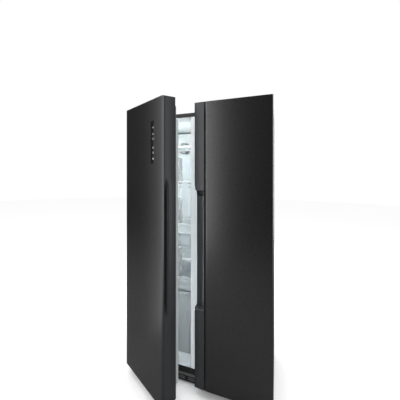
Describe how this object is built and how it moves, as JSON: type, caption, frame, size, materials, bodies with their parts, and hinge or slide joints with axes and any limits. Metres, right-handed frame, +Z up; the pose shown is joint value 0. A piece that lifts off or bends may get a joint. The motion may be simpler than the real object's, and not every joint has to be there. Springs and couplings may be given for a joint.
{
  "type": "side by side refrigerator",
  "caption": "Two-door side-by-side refrigerator with freezer left, fridge right, recessed grips, shelves, drawers, door racks and cooling machinery.",
  "frame": {"origin": "on the floor, in the middle of the footprint at rest, with the freezer door ajar by 34 degrees", "axes": "+Z up, -Y towards the person in front, +X to that person's right, so the freezer door is on -X"},
  "size_m": [0.919, 0.8804, 1.786],
  "materials": {
    "black_steel": "satin black paint over steel",
    "dark_paint": "satin dark grey paint",
    "galvanised": "zinc coated sheet",
    "black_plastic": "fine-grained black plastic",
    "white_plastic": "smooth white polystyrene",
    "foam": "rigid polyurethane foam",
    "clear_plastic": "clear polystyrene",
    "glass": "tempered glass with a moulded edge",
    "seal": "soft grey vinyl",
    "copper": "painted copper tube",
    "aluminium": "plain fins",
    "compressor_black": "semi-gloss black enamel",
    "panel_glass": "gloss black glass",
    "hard_rubber": "hard wheels and feet"
  },
  "bodies": {
    "cabinet": {"outer_shell": "dark_paint", "rear_panel": "galvanised", "foam_sides_and_roof": "foam", "foam_back_floor_divider": "foam", "freezer_liner": "white_plastic", "fridge_liner": "white_plastic", "mullion_cover": "white_plastic", "base_frame": "galvanised", "kick_plate": "black_plastic", "compressor": "compressor_black", "condenser": "copper", "machine_cover": "galvanised", "cord_inlet": "black_plastic", "evaporator_cover": "white_plastic", "evaporator": "aluminium", "fridge_air_duct": "white_plastic", "upper_hinge_left": "galvanised", "lower_hinge_left": "galvanised", "hinge_cover_left": "black_plastic", "upper_hinge_right": "galvanised", "lower_hinge_right": "galvanised", "hinge_cover_right": "black_plastic", "freezer_shelf_1": "glass", "freezer_shelf_2": "glass", "freezer_shelf_3": "glass", "freezer_shelf_4": "glass", "fridge_shelf_1": "glass", "fridge_shelf_2": "glass", "fridge_shelf_3": "glass"},
    "freezer_door": {"freezer_door_rack_1": "clear_plastic", "freezer_door_rack_2": "clear_plastic", "freezer_door_rack_3": "clear_plastic", "freezer_door_skin": "black_steel", "freezer_door_core": "foam", "freezer_door_top_cap": "black_plastic", "freezer_door_bottom_cap": "black_plastic", "freezer_door_liner": "white_plastic", "freezer_door_gasket": "seal", "freezer_door_grip": "black_plastic", "control_panel": "panel_glass"},
    "fridge_door": {"fridge_door_rack_1": "clear_plastic", "fridge_door_rack_2": "clear_plastic", "fridge_door_rack_3": "clear_plastic", "fridge_door_skin": "black_steel", "fridge_door_core": "foam", "fridge_door_top_cap": "black_plastic", "fridge_door_bottom_cap": "black_plastic", "fridge_door_liner": "white_plastic", "fridge_door_gasket": "seal", "fridge_door_grip": "black_plastic"},
    "freezer_drawer_upper": {"freezer_drawer_upper": "clear_plastic"},
    "freezer_drawer_lower": {"freezer_drawer_lower": "clear_plastic"},
    "fridge_drawer_upper": {"fridge_drawer_upper": "clear_plastic"},
    "fridge_drawer_lower": {"fridge_drawer_lower": "clear_plastic"},
    "foot_left": {"levelling_foot_left": "hard_rubber"},
    "roller_left": {"rear_roller_left": "hard_rubber"},
    "foot_right": {"levelling_foot_right": "hard_rubber"},
    "roller_right": {"rear_roller_right": "hard_rubber"},
    "condenser_fan": {"condenser_fan": "black_plastic"},
    "evaporator_fan": {"evaporator_fan": "white_plastic"}
  },
  "joints": [
    {"name": "freezer_door_swing", "type": "hinge", "parent": "cabinet", "child": "freezer_door", "pos_m": [-0.42553, -0.17982, 0.9], "axis": [0, 0, -1], "range_deg": [-34, 76]},
    {"name": "fridge_door_swing", "type": "hinge", "parent": "cabinet", "child": "fridge_door", "pos_m": [0.43447, -0.17982, 0.9], "axis": [0, 0, 1], "range_deg": [0, 110]},
    {"name": "freezer_drawer_upper_slide", "type": "slide", "parent": "cabinet", "child": "freezer_drawer_upper", "axis": [0, -1, 0], "range_m": [0, 0.055]},
    {"name": "freezer_drawer_lower_slide", "type": "slide", "parent": "cabinet", "child": "freezer_drawer_lower", "axis": [0, -1, 0], "range_m": [0, 0.055]},
    {"name": "fridge_drawer_upper_slide", "type": "slide", "parent": "cabinet", "child": "fridge_drawer_upper", "axis": [0, -1, 0], "range_m": [0, 0.055]},
    {"name": "fridge_drawer_lower_slide", "type": "slide", "parent": "cabinet", "child": "fridge_drawer_lower", "axis": [0, -1, 0], "range_m": [0, 0.055]},
    {"name": "foot_left_turn", "type": "hinge", "parent": "cabinet", "child": "foot_left", "pos_m": [-0.37553, -0.07082, 0.03], "axis": [0, 0, 1], "continuous": true},
    {"name": "roller_left_spin", "type": "hinge", "parent": "cabinet", "child": "roller_left", "pos_m": [-0.37553, 0.38418, 0.02], "axis": [1, 0, 0], "continuous": true},
    {"name": "foot_right_turn", "type": "hinge", "parent": "cabinet", "child": "foot_right", "pos_m": [0.38447, -0.07082, 0.03], "axis": [0, 0, 1], "continuous": true},
    {"name": "roller_right_spin", "type": "hinge", "parent": "cabinet", "child": "roller_right", "pos_m": [0.38447, 0.38418, 0.02], "axis": [1, 0, 0], "continuous": true},
    {"name": "condenser_fan_spin", "type": "hinge", "parent": "cabinet", "child": "condenser_fan", "pos_m": [-0.01553, 0.32418, 0.1647], "axis": [1, 0, 0], "continuous": true},
    {"name": "evaporator_fan_spin", "type": "hinge", "parent": "cabinet", "child": "evaporator_fan", "pos_m": [-0.21553, 0.36418, 1.56], "axis": [0, 1, 0], "continuous": true}
  ]
}
